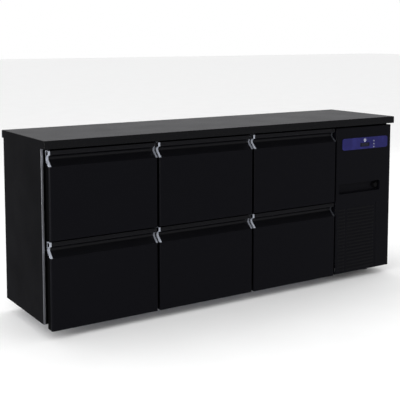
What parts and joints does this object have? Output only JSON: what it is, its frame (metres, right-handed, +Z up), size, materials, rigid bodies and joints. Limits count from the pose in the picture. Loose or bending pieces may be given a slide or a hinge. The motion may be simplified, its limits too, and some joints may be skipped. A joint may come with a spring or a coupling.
{
  "type": "under counter fridge",
  "caption": "Under-counter bar fridge: columns of stacked drawers with full-width recessed grips, flat worktop and a louvred machine bay with a control panel.",
  "frame": {"origin": "on the floor, under the middle of the worktop", "axes": "+X along the cabinet's length towards the machine bay, +Y from the drawer fronts to the back, +Z up"},
  "size_m": [2.002, 0.5, 0.85],
  "materials": {
    "black_steel": "satin",
    "black_worktop": "satin",
    "black_profile": "satin",
    "grey_plastic": "satin",
    "silver_trim": "satin",
    "gasket_rubber": "matte",
    "steel_sheet": "satin",
    "blue_panel": "satin",
    "white_plastic": "satin",
    "black_plastic": "matte",
    "compressor_paint": "satin",
    "fin_aluminium": "satin"
  },
  "bodies": {
    "cabinet": {"worktop": "black_worktop", "insulated_cabinet": "black_steel", "front_frame": "black_steel", "left_edge_trim": "silver_trim", "evaporator": "fin_aluminium", "left_rail_frame": "steel_sheet", "middle_rail_frame": "steel_sheet", "right_rail_frame": "steel_sheet", "machine_bay_casing": "black_steel", "machine_front_panel": "black_steel", "control_panel": "blue_panel", "condenser": "fin_aluminium", "fan_motor": "compressor_paint", "compressor": "compressor_paint", "front_left_foot": "black_plastic", "rear_left_foot": "black_plastic", "front_middle_foot": "black_plastic", "rear_middle_foot": "black_plastic", "front_right_foot": "black_plastic", "rear_right_foot": "black_plastic"},
    "lower_left_drawer": {"lower_left_front": "black_steel", "lower_left_handle": "black_profile", "lower_left_cap_left": "grey_plastic", "lower_left_cap_right": "grey_plastic", "lower_left_box": "steel_sheet", "lower_left_gasket": "gasket_rubber"},
    "lower_middle_drawer": {"lower_middle_front": "black_steel", "lower_middle_handle": "black_profile", "lower_middle_cap_left": "grey_plastic", "lower_middle_cap_right": "grey_plastic", "lower_middle_box": "steel_sheet", "lower_middle_gasket": "gasket_rubber"},
    "lower_right_drawer": {"lower_right_front": "black_steel", "lower_right_handle": "black_profile", "lower_right_cap_left": "grey_plastic", "lower_right_cap_right": "grey_plastic", "lower_right_box": "steel_sheet", "lower_right_gasket": "gasket_rubber"},
    "upper_left_drawer": {"upper_left_front": "black_steel", "upper_left_handle": "black_profile", "upper_left_cap_left": "grey_plastic", "upper_left_cap_right": "grey_plastic", "upper_left_box": "steel_sheet", "upper_left_gasket": "gasket_rubber"},
    "upper_middle_drawer": {"upper_middle_front": "black_steel", "upper_middle_handle": "black_profile", "upper_middle_cap_left": "grey_plastic", "upper_middle_cap_right": "grey_plastic", "upper_middle_box": "steel_sheet", "upper_middle_gasket": "gasket_rubber"},
    "upper_right_drawer": {"upper_right_front": "black_steel", "upper_right_handle": "black_profile", "upper_right_cap_left": "grey_plastic", "upper_right_cap_right": "grey_plastic", "upper_right_box": "steel_sheet", "upper_right_gasket": "gasket_rubber"},
    "upper_button": {"upper_button": "white_plastic"},
    "middle_button": {"middle_button": "white_plastic"},
    "lower_button": {"lower_button": "white_plastic"},
    "condenser_fan": {"condenser_fan": "black_plastic"}
  },
  "joints": [
    {"name": "lower_left_drawer_slide", "type": "slide", "parent": "cabinet", "child": "lower_left_drawer", "axis": [0, -1, 0], "range_m": [0, 0.26]},
    {"name": "lower_middle_drawer_slide", "type": "slide", "parent": "cabinet", "child": "lower_middle_drawer", "axis": [0, -1, 0], "range_m": [0, 0.26]},
    {"name": "lower_right_drawer_slide", "type": "slide", "parent": "cabinet", "child": "lower_right_drawer", "axis": [0, -1, 0], "range_m": [0, 0.26]},
    {"name": "upper_left_drawer_slide", "type": "slide", "parent": "cabinet", "child": "upper_left_drawer", "axis": [0, -1, 0], "range_m": [0, 0.26]},
    {"name": "upper_middle_drawer_slide", "type": "slide", "parent": "cabinet", "child": "upper_middle_drawer", "axis": [0, -1, 0], "range_m": [0, 0.26]},
    {"name": "upper_right_drawer_slide", "type": "slide", "parent": "cabinet", "child": "upper_right_drawer", "axis": [0, -1, 0], "range_m": [0, 0.26]},
    {"name": "upper_button_press", "type": "slide", "parent": "cabinet", "child": "upper_button", "axis": [0, 1, 0], "range_m": [0, 0.0008], "stiffness_N_per_m": 400},
    {"name": "middle_button_press", "type": "slide", "parent": "cabinet", "child": "middle_button", "axis": [0, 1, 0], "range_m": [0, 0.0008], "stiffness_N_per_m": 400},
    {"name": "lower_button_press", "type": "slide", "parent": "cabinet", "child": "lower_button", "axis": [0, 1, 0], "range_m": [0, 0.0008], "stiffness_N_per_m": 400},
    {"name": "condenser_fan_spin", "type": "hinge", "parent": "cabinet", "child": "condenser_fan", "pos_m": [0.79, -0.1165, 0.205], "axis": [0, 1, 0], "continuous": true}
  ]
}
